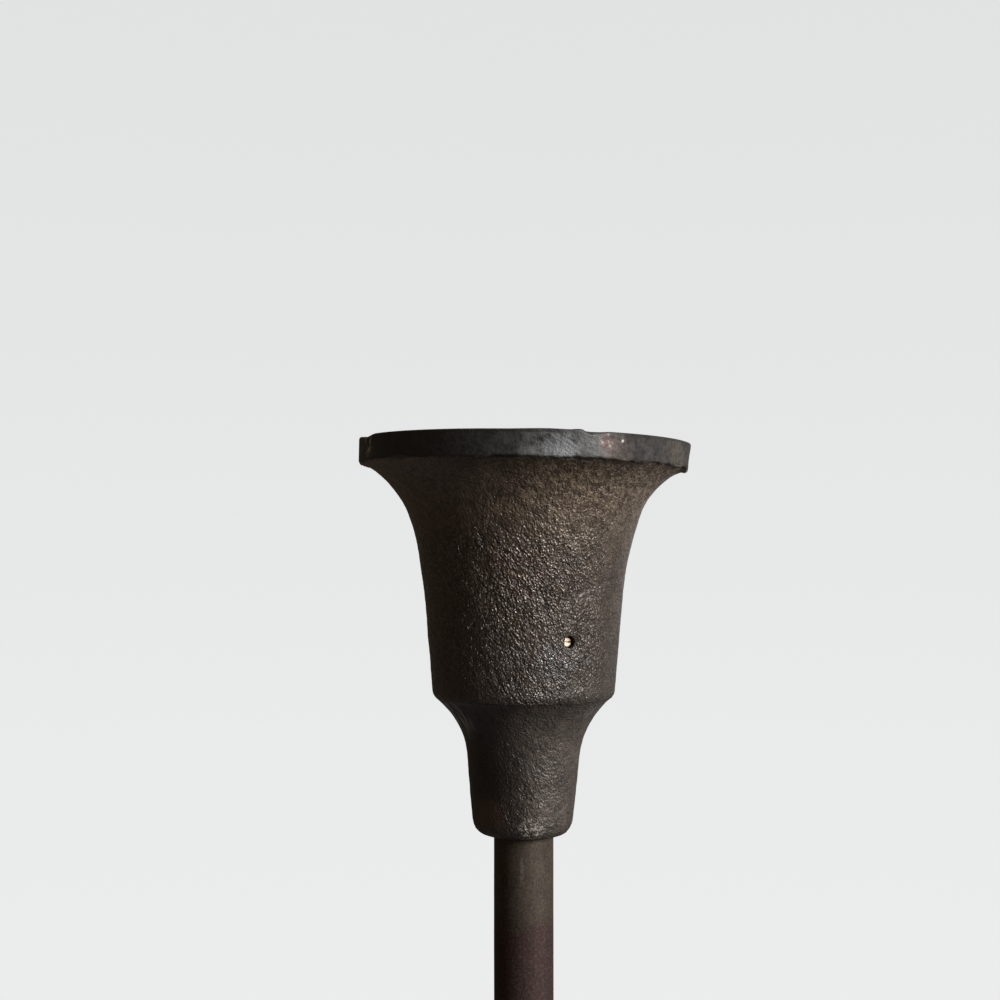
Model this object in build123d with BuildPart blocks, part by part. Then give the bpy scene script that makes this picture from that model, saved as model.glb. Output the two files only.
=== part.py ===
from build123d import *
import math
import os

# A pricket candle stand. A bell-shaped iron cup with a turned lip screws onto a plain round stem, and the
# stem is bolted through a heavy round foot. A loose pricket, a spike on a round plug, drops into the cup's
# socket and is locked there by a small brass grub screw in the cup's wall.
# Lengths are millimetres and angles are degrees. Z is up, the origin is the middle of the footprint on the
# table, and the grub screw faces -Y.

# Fits shared by the pieces
thread_clearance = 0.05
stem_clearance = 0.05
plug_clearance = 0.1
press_clearance = 0.02
cut_overrun = 1.0

# Stem: a plain bar with a thinner threaded end at the top and at the bottom
stem_radius = 5.0
stem_exposed_length = 212.6
stem_seat_depth = 14.0
stem_edge_chamfer = 0.4
thread_radius = 4.0
thread_end_chamfer = 0.8
cup_thread_length = 9.0
cup_thread_end_gap = 1.0
nut_end_stickout = 1.5

# Neck: the tapered end that grips the stem, cast alike on the cup and on the foot
neck_end_radius = 8.05
neck_top_radius = 9.35
neck_taper_height = 12.9
neck_end_round = 2.8
shoulder_radius = 15.3
shoulder_height = 23.4
shoulder_round = 0.5

# Cup: the bell above the neck, with its turned lip and its socket
cup_height = 66.0
bell_top_radius = 16.65
bell_top_height = 39.2
flare_middle_radius_share = 0.275
flare_middle_height_share = 0.64
rim_radius = 27.85
rim_band_height = 4.2
rim_edge_round = 0.35
mouth_radius = 22.5
socket_radius = 11.5
socket_floor_height = 26.5
socket_flare_height = 44.5

# Pricket: a plug that fills the bottom of the socket and carries the spike
plug_height = 12.0
plug_edge_chamfer = 0.8
spike_height = 24.0
spike_shank_height = 9.0
spike_shank_radius = 2.5
spike_tip_radius = 0.3
spike_tail_radius = 2.0
spike_tail_length = 9.0

# Grub screw: locks the plug from the side
grub_height = 33.05
grub_radius = 1.0
grub_length = 3.5
grub_edge_chamfer = 0.2
grub_slot_width = 0.35
grub_slot_depth = 0.6
grub_tip_gap = 0.05

# Foot: a low flared disc under its own neck, standing on three pads
foot_radius = 60.0
foot_height = 50.0
foot_band_height = 6.0
foot_edge_round = 0.8
foot_waist_radius = 16.6
foot_waist_drop = 4.5
foot_sweep_radius_share = 0.22
foot_sweep_height_share = 0.62
pocket_radius = 10.5
pocket_depth = 12.0
pad_radius = 6.5
pad_thickness = 2.5
pad_stickout = 1.5
pad_circle_radius = 48.0
pad_edge_round = 0.4
pad_clearance = 0.1
pad_count = 3
pad_start_angle = 90.0

# Fastening under the foot
washer_radius = 8.0
washer_thickness = 1.6
washer_clearance = 0.3
nut_across_flats = 13.0
nut_height = 6.5
nut_sides = 6
nut_chamfer_angle = 30.0

# Levels worked out from the sizes above
foot_bottom = pad_stickout
foot_top = foot_bottom + foot_height
cup_bottom = foot_top + stem_exposed_length
cup_top = cup_bottom + cup_height
socket_floor = cup_bottom + socket_floor_height
plug_top = socket_floor + plug_height
grub_level = cup_bottom + grub_height
stem_bottom_seat = foot_top - stem_seat_depth
stem_top_seat = cup_bottom + stem_seat_depth
pocket_roof = foot_bottom + pocket_depth
nut_top = pocket_roof - washer_thickness
nut_bottom = nut_top - nut_height
stem_end = nut_bottom - nut_end_stickout


def nearest_corner(outline, radius, level):
    """The outline's corner nearest to a radius and a level."""
    return outline.vertices().sort_by_distance((radius, level))[0]


def neck_side(end_level, up):
    """Draws the neck's side from its end to its shoulder; up is 1 for a rise and -1 for a drop."""
    taper = Line(
        (neck_end_radius, end_level),
        (neck_top_radius, end_level + up * neck_taper_height),
    )
    TangentArc(
        taper @ 1,
        (shoulder_radius, end_level + up * shoulder_height),
        tangent=taper % 1,
    )


# Candle cup
lip_level = cup_top - rim_band_height
bell_top = cup_bottom + bell_top_height
flare_middle = (
    bell_top_radius + flare_middle_radius_share * (rim_radius - bell_top_radius),
    bell_top + flare_middle_height_share * (lip_level - bell_top),
)
with BuildPart() as candle_cup:
    with BuildSketch(Plane.XZ) as cup_outline:
        with BuildLine():
            neck_side(cup_bottom, 1)
            bell = Line(
                (shoulder_radius, cup_bottom + shoulder_height),
                (bell_top_radius, bell_top),
            )
            flare = TangentArc(bell @ 1, flare_middle, tangent=bell % 1)
            TangentArc(flare @ 1, (rim_radius, lip_level), tangent=flare % 1)
            Polyline(
                (rim_radius, lip_level), (rim_radius, cup_top), (mouth_radius, cup_top)
            )
            socket_flare_level = cup_bottom + socket_flare_height
            mouth = TangentArc(
                (socket_radius, socket_flare_level),
                (mouth_radius, cup_top),
                tangent=(0, 1),
            )
            Polyline(
                mouth @ 0,
                (socket_radius, socket_floor),
                (0, socket_floor),
                (0, cup_bottom),
                (neck_end_radius, cup_bottom),
            )
        make_face()
        fillet(
            nearest_corner(cup_outline, neck_end_radius, cup_bottom), neck_end_round
        )
        fillet(
            nearest_corner(cup_outline, shoulder_radius, cup_bottom + shoulder_height),
            shoulder_round,
        )
        for lip_radius, lip_height in [
            (rim_radius, lip_level),
            (rim_radius, cup_top),
            (mouth_radius, cup_top),
        ]:
            fillet(nearest_corner(cup_outline, lip_radius, lip_height), rim_edge_round)
    revolve(axis=Axis.Z)
    # The stem's seat and the tapped hole above it
    with BuildSketch(Plane.XY.offset(cup_bottom)):
        Circle(stem_radius + stem_clearance)
    extrude(amount=stem_seat_depth, mode=Mode.SUBTRACT)
    with BuildSketch(Plane.XY.offset(stem_top_seat)):
        Circle(thread_radius + thread_clearance)
    extrude(amount=cup_thread_length + cup_thread_end_gap, mode=Mode.SUBTRACT)
    # The tapped cross hole for the grub screw, through the wall on the -Y side
    with BuildSketch(Plane(origin=(0, 0, grub_level), z_dir=(0, -1, 0))):
        Circle(grub_radius + thread_clearance)
    extrude(amount=rim_radius, mode=Mode.SUBTRACT)
candle_cup.part.label = "candle_cup"

# Pricket plug
with BuildPart() as pricket_plug:
    with BuildSketch(Plane.XY.offset(socket_floor)):
        Circle(socket_radius - plug_clearance)
    extrude(amount=plug_height)
    chamfer(
        pricket_plug.edges().filter_by(GeomType.CIRCLE).group_by(Axis.Z)[-1],
        plug_edge_chamfer,
    )
    with BuildSketch(Plane.XY.offset(plug_top)):
        Circle(spike_tail_radius + press_clearance)
    extrude(amount=-plug_height, mode=Mode.SUBTRACT)
pricket_plug.part.label = "pricket_plug"

# Pricket spike
tail_end = plug_top - spike_tail_length
with BuildPart() as pricket_spike:
    with BuildSketch(Plane.XZ) as spike_outline:
        with BuildLine():
            Polyline(
                (0, tail_end),
                (spike_tail_radius, tail_end),
                (spike_tail_radius, plug_top),
                (spike_shank_radius, plug_top),
                (spike_shank_radius, plug_top + spike_shank_height),
                (spike_tip_radius, plug_top + spike_height),
                (0, plug_top + spike_height),
                (0, tail_end),
            )
        make_face()
    revolve(axis=Axis.Z)
pricket_spike.part.label = "pricket_spike"

# Grub screw
grub_inner_end = socket_radius - plug_clearance + grub_tip_gap
grub_outer_end = grub_inner_end + grub_length
with BuildPart() as grub_screw:
    with BuildSketch(Plane(origin=(0, -grub_inner_end, grub_level), z_dir=(0, -1, 0))):
        Circle(grub_radius)
    extrude(amount=grub_length)
    chamfer(grub_screw.edges().filter_by(GeomType.CIRCLE), grub_edge_chamfer)
    with BuildSketch(Plane(origin=(0, -grub_outer_end, grub_level), z_dir=(0, -1, 0))):
        Rectangle(grub_radius + grub_radius + cut_overrun, grub_slot_width)
    extrude(amount=-grub_slot_depth, mode=Mode.SUBTRACT)
grub_screw.part.label = "grub_screw"

# Stem
cup_thread_end = stem_top_seat + cup_thread_length
with BuildPart() as stem:
    with BuildSketch(Plane.XZ) as stem_outline:
        with BuildLine():
            Polyline(
                (0, stem_end),
                (thread_radius, stem_end),
                (thread_radius, stem_bottom_seat),
                (stem_radius, stem_bottom_seat),
                (stem_radius, stem_top_seat),
                (thread_radius, stem_top_seat),
                (thread_radius, cup_thread_end),
                (0, cup_thread_end),
                (0, stem_end),
            )
        make_face()
        for thread_end in (stem_end, cup_thread_end):
            chamfer(
                nearest_corner(stem_outline, thread_radius, thread_end),
                thread_end_chamfer,
            )
        for seat in (stem_bottom_seat, stem_top_seat):
            chamfer(nearest_corner(stem_outline, stem_radius, seat), stem_edge_chamfer)
    revolve(axis=Axis.Z)
stem.part.label = "stem"

# Foot
foot_shoulder = foot_top - shoulder_height
foot_waist = foot_shoulder - foot_waist_drop
foot_lip = foot_bottom + foot_band_height
foot_sweep = (
    foot_waist_radius + foot_sweep_radius_share * (foot_radius - foot_waist_radius),
    foot_waist + foot_sweep_height_share * (foot_lip - foot_waist),
)
with BuildPart() as foot:
    with BuildSketch(Plane.XZ) as foot_outline:
        with BuildLine():
            neck_side(foot_top, -1)
            waist = Line(
                (shoulder_radius, foot_shoulder), (foot_waist_radius, foot_waist)
            )
            sweep_in = TangentArc(waist @ 1, foot_sweep, tangent=waist % 1)
            TangentArc(sweep_in @ 1, (foot_radius, foot_lip), tangent=sweep_in % 1)
            Polyline(
                (foot_radius, foot_lip),
                (foot_radius, foot_bottom),
                (0, foot_bottom),
                (0, foot_top),
                (neck_end_radius, foot_top),
            )
        make_face()
        fillet(nearest_corner(foot_outline, neck_end_radius, foot_top), neck_end_round)
        fillet(
            nearest_corner(foot_outline, shoulder_radius, foot_shoulder), shoulder_round
        )
        for edge_level in (foot_lip, foot_bottom):
            fillet(
                nearest_corner(foot_outline, foot_radius, edge_level), foot_edge_round
            )
    revolve(axis=Axis.Z)
    # The stem's seat, the clearance hole under it and the nut's pocket
    with BuildSketch(Plane.XY.offset(foot_top)):
        Circle(stem_radius + stem_clearance)
    extrude(amount=-stem_seat_depth, mode=Mode.SUBTRACT)
    with BuildSketch(Plane.XY.offset(pocket_roof)):
        Circle(thread_radius + washer_clearance)
    extrude(amount=stem_bottom_seat - pocket_roof, mode=Mode.SUBTRACT)
    with BuildSketch(Plane.XY.offset(foot_bottom)):
        Circle(pocket_radius)
    extrude(amount=pocket_depth, mode=Mode.SUBTRACT)
    # The shallow seats of the pads
    with BuildSketch(Plane.XY.offset(foot_bottom)):
        with PolarLocations(pad_circle_radius, pad_count, start_angle=pad_start_angle):
            Circle(pad_radius + pad_clearance)
    extrude(amount=pad_thickness - pad_stickout, mode=Mode.SUBTRACT)
foot.part.label = "foot"

# Foot pads
with BuildPart() as foot_pads:
    with BuildSketch(Plane.XY):
        with PolarLocations(pad_circle_radius, pad_count, start_angle=pad_start_angle):
            Circle(pad_radius)
    extrude(amount=pad_thickness)
    fillet(
        foot_pads.edges().filter_by(GeomType.CIRCLE).group_by(Axis.Z)[0], pad_edge_round
    )
foot_pads.part.label = "foot_pads"

# Washer
with BuildPart() as washer:
    with BuildSketch(Plane.XY.offset(nut_top)):
        Circle(washer_radius)
        Circle(thread_radius + washer_clearance, mode=Mode.SUBTRACT)
    extrude(amount=washer_thickness)
washer.part.label = "washer"

# Nut, with its corners turned off by a cone at both ends
nut_face_radius = nut_across_flats / 2
nut_corner_radius = nut_face_radius / math.cos(math.pi / nut_sides)
with BuildPart() as nut:
    with BuildSketch(Plane.XY.offset(nut_bottom)):
        RegularPolygon(nut_face_radius, nut_sides, major_radius=False)
        Circle(thread_radius + thread_clearance, mode=Mode.SUBTRACT)
    extrude(amount=nut_height)
    with BuildSketch(Plane.XZ) as nut_turning:
        with BuildLine():
            cone = PolarLine(
                (nut_face_radius, nut_top),
                nut_corner_radius - nut_face_radius + cut_overrun,
                angle=-nut_chamfer_angle,
                length_mode=LengthMode.HORIZONTAL,
            )
            far_radius = (cone @ 1).X
            cone_drop = nut_top - (cone @ 1).Y
            Polyline(
                cone @ 1,
                (far_radius, nut_bottom + cone_drop),
                (nut_face_radius, nut_bottom),
                (0, nut_bottom),
                (0, nut_top),
                cone @ 0,
            )
        make_face()
    revolve(axis=Axis.Z, mode=Mode.INTERSECT)
nut.part.label = "nut"

os.makedirs("parts", exist_ok=True)
for piece in (
    candle_cup,
    pricket_plug,
    pricket_spike,
    grub_screw,
    stem,
    foot,
    foot_pads,
    washer,
    nut,
):
    export_step(piece.part, f"parts/{piece.part.label}.step")
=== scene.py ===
"""Models and finishes a cast-iron pricket candle stand around its CAD frame.

Lengths are metres in the CAD's own frame: Z is up, the table is at 0, and the lock screw faces -Y. A bearing
is an angle round the stem, 0 at the lock screw and growing to the right of it.
"""

import math

import bpy
from bpy.props import FloatProperty, FloatVectorProperty, IntProperty, PointerProperty
from mathutils import Matrix, Vector


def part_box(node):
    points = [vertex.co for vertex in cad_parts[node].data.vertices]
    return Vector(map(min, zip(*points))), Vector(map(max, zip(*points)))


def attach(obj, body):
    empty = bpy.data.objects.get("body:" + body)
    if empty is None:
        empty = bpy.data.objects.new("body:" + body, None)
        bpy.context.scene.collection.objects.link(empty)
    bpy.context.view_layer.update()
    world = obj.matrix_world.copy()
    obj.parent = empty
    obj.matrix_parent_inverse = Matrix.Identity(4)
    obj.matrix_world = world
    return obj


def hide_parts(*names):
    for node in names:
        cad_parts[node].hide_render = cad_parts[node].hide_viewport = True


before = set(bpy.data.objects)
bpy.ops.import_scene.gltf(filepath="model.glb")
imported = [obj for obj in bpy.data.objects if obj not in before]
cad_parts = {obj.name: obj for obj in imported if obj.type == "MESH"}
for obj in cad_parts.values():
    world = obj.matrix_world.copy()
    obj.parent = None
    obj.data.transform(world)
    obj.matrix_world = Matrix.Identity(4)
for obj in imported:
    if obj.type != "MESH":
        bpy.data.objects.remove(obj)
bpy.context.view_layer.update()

bl_info = {
    "name": "Pricket candle stand",
    "version": (1, 0, 0),
    "blender": (4, 5, 0),
    "location": "3D View > Sidebar > Candle stand",
    "description": "Models and finishes a cast-iron pricket candle stand around its CAD frame",
    "category": "Add Mesh",
}

MM = 0.001
BORE_SHARE = 1.25  # Radius of the stem's seats, as a share of its threads'
SOFT_EDGE = {
    "use_proportional_edit": True,
    "proportional_edit_falloff": "SMOOTH",
    "use_proportional_connected": True,
}

# Tints that the casting's colour is multiplied by
CLOUD_DARK, CLOUD_PALE = (0.62, 0.64, 0.64), (1.36, 1.34, 1.32)
NECK_TINT, BELL_TINT, HIGH_TINT = (0.9, 0.9, 0.93), (1.42, 1.4, 1.44), (1.27, 1.18, 1.07)


# Settings


def length(name, millimetres, description):
    """A length setting, given in millimetres."""
    default = millimetres * MM
    return FloatProperty(
        name=name, description=description, default=default, unit="LENGTH", subtype="DISTANCE", precision=5
    )


def angle(name, degrees, description):
    """An angle setting, given in degrees."""
    return FloatProperty(name=name, description=description, default=math.radians(degrees), subtype="ANGLE")


def colour(name, red, green, blue, description):
    """A colour setting, in linear light."""
    return FloatVectorProperty(
        name=name, description=description, default=(red, green, blue), subtype="COLOR", min=0, max=1
    )


class CandleStandShape(bpy.types.PropertyGroup):
    """Sizes of the pieces that their CAD boxes don't give."""

    neck_end_radius: length("Neck end radius", 8.05, "Radius of the neck's end, before it is rounded")
    neck_end_round: length("Neck end round", 2.7, "Size of the round on the neck's end")
    neck_top_radius: length("Neck top radius", 9.35, "Radius where the neck's taper ends")
    neck_taper: length("Neck taper", 12.9, "Height of the neck's tapered stretch")
    shoulder_radius: length("Shoulder radius", 15.3, "Radius of the shoulder above the neck")
    shoulder_height: length("Shoulder height", 23.4, "Height of the shoulder above the neck's end")
    shoulder_round: length("Shoulder round", 0.7, "Size of the round on the shoulder")
    bell_radius: length("Bell radius", 16.65, "Radius where the bell starts to flare")
    bell_height: length("Bell height", 39.2, "Height at which the bell starts to flare")
    lip_height: length("Lip height", 4.2, "Height of the ground band round the rim")
    lip_round: length("Lip round", 0.3, "Size of the rounds on the rim's edges")
    lip_overhang: length("Lip overhang", 0.5, "Step in from the ground band to the flare below it")
    mouth_radius: length("Mouth radius", 22.5, "Radius of the mouth at the rim")
    socket_radius: length("Socket radius", 11.5, "Radius of the candle socket")
    socket_floor: length("Socket floor", 26.5, "Height of the socket's floor above the neck's end")
    socket_flare: length("Socket flare", 44.5, "Height at which the socket starts to widen")
    tap_top: length("Tap top", 24.0, "Height of the tapped hole's end above the neck's end")
    seat_depth: length("Seat depth", 14.0, "Depth of the stem's seat in the cup and in the foot")
    thread_radius: length("Thread radius", 4.0, "Outer radius of the stem's threaded ends")
    thread_pitch: length("Thread pitch", 1.25, "Pitch of the stem's threads")
    drill_radius: length("Drill radius", 1.05, "Radius of the lock screw's hole")
    foot_waist: length("Foot waist", 16.6, "Radius where the foot starts to flare")
    pocket_radius: length("Pocket radius", 10.5, "Radius of the nut's pocket under the foot")
    pad_radius: length("Pad radius", 6.5, "Radius of a rubber pad")
    pad_circle: length("Pad circle", 48.0, "Distance of the pads from the stem's axis")
    washer_radius: length("Washer radius", 8.0, "Outer radius of the washer")
    cast_cell: length("Casting cell", 0.4, "Mesh spacing on the cup's rough surface")
    grain_size: length("Grain size", 1.1, "Width of the sand grains left in the casting")
    grain_height: length("Grain height", 0.11, "Height of the sand grains left in the casting")
    swell_size: length("Swell size", 7.0, "Width of the casting's soft swells")
    swell_height: length("Swell height", 0.22, "Height of the casting's soft swells")
    rim_tilt: angle("Rim tilt", 1.2, "Slant of the ground rim across the view")
    round_steps: IntProperty(
        name="Round steps", description="Mesh steps round the cup and the foot", default=288, min=24
    )


class CandleStandLook(bpy.types.PropertyGroup):
    """Colours of the finishes."""

    # In the casting's pits, a darker share of this colour is painted shade
    iron_dark: colour("Dark iron", 0.058, 0.041, 0.03, "Iron in the hollows of the casting")
    iron_light: colour("Light iron", 0.13, 0.104, 0.083, "Iron on the swells of the casting")
    iron_rust: colour("Rust brown", 0.1, 0.062, 0.046, "Brown patina on the iron")
    iron_purple: colour("Purple brown", 0.128, 0.084, 0.08, "Purple patches on the iron")
    flare: colour("Flare brown", 0.325, 0.262, 0.201, "Brown crumbs on the flare under the rim")
    iron_rubbed: colour("Rubbed iron", 0.37, 0.38, 0.388, "Rubbed iron below the lock screw")
    # On the casting's grain tops this colour is also painted glint
    iron_bare: colour("Bare iron", 0.4, 0.36, 0.32, "Worn iron on the grains' tops")
    lip_dark: colour("Dark lip", 0.046, 0.044, 0.041, "Ground rim where it has darkened")
    lip_worn: colour("Worn lip", 0.04, 0.031, 0.025, "Ground rim where it has browned again")
    lip_ground: colour("Ground lip", 0.215, 0.215, 0.22, "Ground rim where the strokes are fresh")
    chip_dark: colour("Dark rust", 0.055, 0.024, 0.02, "Hollows of the rim's red chip")
    chip_red: colour("Red rust", 0.2, 0.085, 0.07, "Tops of the rim's red chip")
    chip_grit: colour("White grit", 0.62, 0.58, 0.55, "Grit in the rim's red chip")
    earth_dark: colour("Dark earth", 0.02, 0.018, 0.012, "Hollows of the rim's brown chip")
    earth_pale: colour("Pale earth", 0.7, 0.64, 0.54, "Tops of the rim's brown chip")
    white_fleck: colour("White fleck", 0.75, 0.73, 0.7, "Fleck of paint on the rim")
    stem_olive: colour("Olive stem", 0.118, 0.094, 0.07, "Stem just under the cup")
    stem_purple: colour("Purple stem", 0.08, 0.042, 0.041, "Stem lower down")
    steel: colour("Turned steel", 0.3, 0.29, 0.275, "Plug and spike")
    plating: colour("Plating", 0.45, 0.45, 0.43, "Washer and nut")
    brass: colour("Brass", 0.76, 0.63, 0.46, "Lock screw")
    rubber: colour("Rubber", 0.028, 0.027, 0.026, "Pads under the foot")
    floor: colour("Floor", 0.78, 0.78, 0.775, "Floor under the stand")
    wall: colour("Background", 0.805, 0.81, 0.81, "Background behind the stand")


class CandleStandStage(bpy.types.PropertyGroup):
    """Camera and light."""

    view_bearing: angle("View bearing", -27.7, "Bearing of the camera round the stem")
    view_distance: length("View distance", 262.5, "Distance of the camera from the stem's axis")
    view_height: length("View height", 312.7, "Height of the camera above the table")
    view_pitch: angle("View pitch", 1.66, "Upward tilt of the camera")
    view_turn: angle("View turn", 0.87, "Turn of the camera to the left of the stem")
    lens: FloatProperty(
        name="Lens", description="Focal length on a 36 mm frame, in millimetres", default=55.8
    )
    key_bearing: angle("Key bearing", 58.0, "Bearing of the main light, to the right of the camera")
    key_power: FloatProperty(
        name="Key power", description="Power of the main light", default=7.6, subtype="POWER"
    )
    ambient: colour("Ambient", 0.055, 0.04, 0.027, "Light from all round")


# Modelling


def deselect():
    """Leaves edit mode and selects nothing."""
    if bpy.context.object and bpy.context.object.mode != "OBJECT":
        bpy.ops.object.mode_set(mode="OBJECT")
    bpy.ops.object.select_all(action="DESELECT")


def pick(piece):
    """Makes a piece the only selected and the active one."""
    deselect()
    piece.select_set(True)
    bpy.context.view_layer.objects.active = piece


def settle(piece):
    """Moves a piece's place into its mesh."""
    pick(piece)
    bpy.ops.object.transform_apply(location=True, rotation=True, scale=True)


def named(name):
    """Names the object that was just added and returns it."""
    piece = bpy.context.object
    piece.name = name
    piece.data.name = name
    settle(piece)
    return piece


def select_where(piece, test):
    """Opens a piece in edit mode with only the vertices selected whose place passes the test."""
    pick(piece)
    bpy.ops.object.mode_set(mode="EDIT")
    bpy.ops.mesh.select_mode(type="VERT")
    bpy.ops.mesh.select_all(action="DESELECT")
    bpy.ops.object.mode_set(mode="OBJECT")
    flags = [bool(test(vertex.co)) for vertex in piece.data.vertices]
    if not any(flags):
        raise RuntimeError(f"nothing was selected on {piece.name}")
    piece.data.vertices.foreach_set("select", flags)
    bpy.ops.object.mode_set(mode="EDIT")


def nudge(piece, place, move, reach):
    """Pulls the surface near a place, with a soft edge, as far as reach."""
    vertices = piece.data.vertices
    centre = min((vertex.co for vertex in vertices), key=lambda co: (co - place).length).copy()
    select_where(piece, lambda co: (co - centre).length < 0.001 * MM)
    bpy.ops.transform.translate(value=move, proportional_size=reach, **SOFT_EDGE)
    deselect()


def group_where(piece, name, test):
    """Makes a vertex group of the vertices whose place passes the test."""
    select_where(piece, test)
    group = piece.vertex_groups.new(name=name)
    piece.vertex_groups.active = group
    bpy.ops.object.vertex_group_assign()
    deselect()


def displace(piece, group, size, height, depth, direction="NORMAL"):
    """Roughens the vertices of a group with a cloud pattern."""
    pattern = bpy.data.textures.new(f"{piece.name}_{group}", "CLOUDS")
    pattern.noise_scale = size
    pattern.noise_depth = depth
    pick(piece)
    bpy.ops.object.modifier_add(type="DISPLACE")
    modifier = piece.modifiers[-1]
    modifier.texture = pattern
    modifier.texture_coords = "LOCAL"
    modifier.vertex_group = group
    modifier.direction = direction
    modifier.strength = height
    bpy.ops.object.modifier_apply(modifier=modifier.name)


def cylinder(name, sides, radius, depth, place, turn=(0, 0, 0)):
    """Adds a plain cylinder."""
    deselect()
    bpy.ops.mesh.primitive_cylinder_add(
        vertices=sides, radius=radius, depth=depth, location=place, rotation=turn
    )
    return named(name)


def cut(piece, cutter, operation="DIFFERENCE"):
    """Cuts a piece with another one, which is then removed."""
    pick(piece)
    bpy.ops.object.modifier_add(type="BOOLEAN")
    modifier = piece.modifiers[-1]
    modifier.operation = operation
    modifier.solver = "EXACT"
    modifier.object = cutter
    bpy.ops.object.modifier_apply(modifier=modifier.name)
    pick(cutter)
    bpy.ops.object.delete()


def spun(name, outline, steps):
    """Draws an outline of radius and height point by point, and spins it about the stem's axis."""
    deselect()
    first = outline[0]
    bpy.ops.mesh.primitive_plane_add(size=MM, location=(first[0], 0, first[1]))
    piece = named(name)
    bpy.ops.object.mode_set(mode="EDIT")
    bpy.ops.mesh.merge(type="CENTER")
    for here, there in zip(outline, outline[1:]):
        move = (there[0] - here[0], 0, there[1] - here[1])
        bpy.ops.mesh.extrude_vertices_move(TRANSFORM_OT_translate={"value": move})
    bpy.ops.mesh.select_all(action="SELECT")
    bpy.ops.mesh.spin(steps=steps, angle=math.tau, center=(0, 0, 0), axis=(0, 0, 1))
    bpy.ops.mesh.select_all(action="SELECT")
    bpy.ops.mesh.remove_doubles(threshold=0.0005 * MM)
    bpy.ops.mesh.normals_make_consistent(inside=False)
    bpy.ops.object.mode_set(mode="OBJECT")
    return piece


def finish_piece(piece, finish, body, node, crease):
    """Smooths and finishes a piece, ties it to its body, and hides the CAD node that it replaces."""
    pick(piece)
    bpy.ops.object.shade_smooth_by_angle(angle=math.radians(crease))
    piece.data.materials.clear()
    piece.data.materials.append(finish)
    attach(piece, body)
    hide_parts(node)
    deselect()


# Outlines


def arc(start, heading, end, count=32):
    """Points of the arc that leaves start along heading and ends at end, and its heading there."""
    start, heading, end = Vector(start), Vector(heading).normalized(), Vector(end)
    chord = end - start
    half_turn = math.atan2(heading.cross(chord), heading.dot(chord))
    radius = chord.length / (2 * math.sin(half_turn))
    centre = start + radius * Vector((-heading.y, heading.x))
    spoke = start - centre
    turned = lambda share: Matrix.Rotation(2 * half_turn * share, 2)
    return [centre + turned(step / count) @ spoke for step in range(count + 1)], turned(1) @ heading


def eased(before, corner, after, size, count=6):
    """Points that round a corner, from size before it to size after it."""
    before, corner, after = Vector(before), Vector(corner), Vector(after)
    start = corner + (before - corner).normalized() * size
    end = corner + (after - corner).normalized() * size
    points = []
    for step in range(count + 1):
        share = step / count
        points.append(start.lerp(corner, share).lerp(corner.lerp(end, share), share))
    return points


def stepped(points, spacing):
    """The points of a line, set out again at about a spacing."""
    points = [Vector(point) for point in points]
    lengths = [(b - a).length for a, b in zip(points, points[1:])]
    total = sum(lengths)
    count = max(1, round(total / spacing))
    result = [points[0]]
    for step in range(1, count):
        goal = total * step / count
        index = 0
        while goal > lengths[index]:
            goal -= lengths[index]
            index += 1
        result.append(points[index].lerp(points[index + 1], goal / lengths[index]))
    return result + [points[-1]]


def part_way(start, end, across, up):
    """The point at two shares of the way from start to end."""
    way = end - start
    return start + Vector((way.x * across, way.y * up))


def joined(*runs):
    """One outline from several runs of points, with no point twice."""
    outline = []
    for run in runs:
        for point in run:
            point = Vector(point)
            if not outline or (point - outline[-1]).length > 0.005 * MM:
                outline.append(point)
    return outline


def neck_side(shape, bore):
    """The neck's side from the bore's edge to the shoulder."""
    start = Vector((bore, 0))
    end = Vector((shape.neck_end_radius, 0))
    top = Vector((shape.neck_top_radius, shape.neck_taper))
    shoulder = Vector((shape.shoulder_radius, shape.shoulder_height))
    sweep, _ = arc(top, top - end, shoulder)
    return joined([start], eased(start, end, top, shape.neck_end_round), sweep)


def cup_outline(shape, base, height, rim):
    """The cup's whole section, from the end of its tapped hole round the rim to the socket's floor."""
    tap, seat = shape.thread_radius, shape.seat_depth
    bore = tap * BORE_SHARE
    neck = neck_side(shape, bore)
    shoulder = neck[-1]
    bell = Vector((shape.bell_radius, shape.bell_height))
    lip = Vector((rim, height - shape.lip_height))
    top = Vector((rim, height))
    mouth = Vector((shape.mouth_radius, height))
    mouth_round = 0.6 * MM
    waist = part_way(bell, lip, 0.275, 0.64)
    low_flare, heading = arc(bell, bell - shoulder, waist)
    high_flare, _ = arc(waist, heading, lip - Vector((shape.lip_overhang, 0)))
    shoulder_round = eased(neck[-3], shoulder, bell, shape.shoulder_round)
    lip_round = eased(high_flare[-2], lip, top, shape.lip_round, 4)
    funnel, _ = arc((shape.socket_radius, shape.socket_flare), (0, 1), mouth)
    funnel.reverse()
    floor_edge = (shape.socket_radius, shape.socket_floor)
    skin = joined(neck[:-1], shoulder_round, low_flare, high_flare[:-1], lip_round[:1])
    outline = joined(
        [(0, shape.tap_top), (tap, shape.tap_top), (tap, seat), (bore, seat)],
        stepped([(bore, seat), (bore, 0)], 4 * MM),
        stepped(skin, shape.cast_cell),
        lip_round,
        stepped([lip_round[-1], top - Vector((0, shape.lip_round))], 0.35 * MM),
        eased(lip, top, mouth, shape.lip_round, 4),
        stepped([top - Vector((shape.lip_round, 0)), mouth + Vector((mouth_round, 0))], 0.5 * MM),
        eased(top, mouth, funnel[1], mouth_round, 4),
        stepped(funnel[2:], 0.9 * MM),
        stepped([funnel[-1], floor_edge], 1.6 * MM),
        stepped([floor_edge, (0, shape.socket_floor)], 2 * MM),
    )
    return [(point.x, base + point.y) for point in outline]


def round_place(bearing, radius, height):
    """The place at a bearing, a radius and a height."""
    return Vector((radius * math.sin(bearing), -radius * math.cos(bearing), height))


# Finishes


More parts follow.
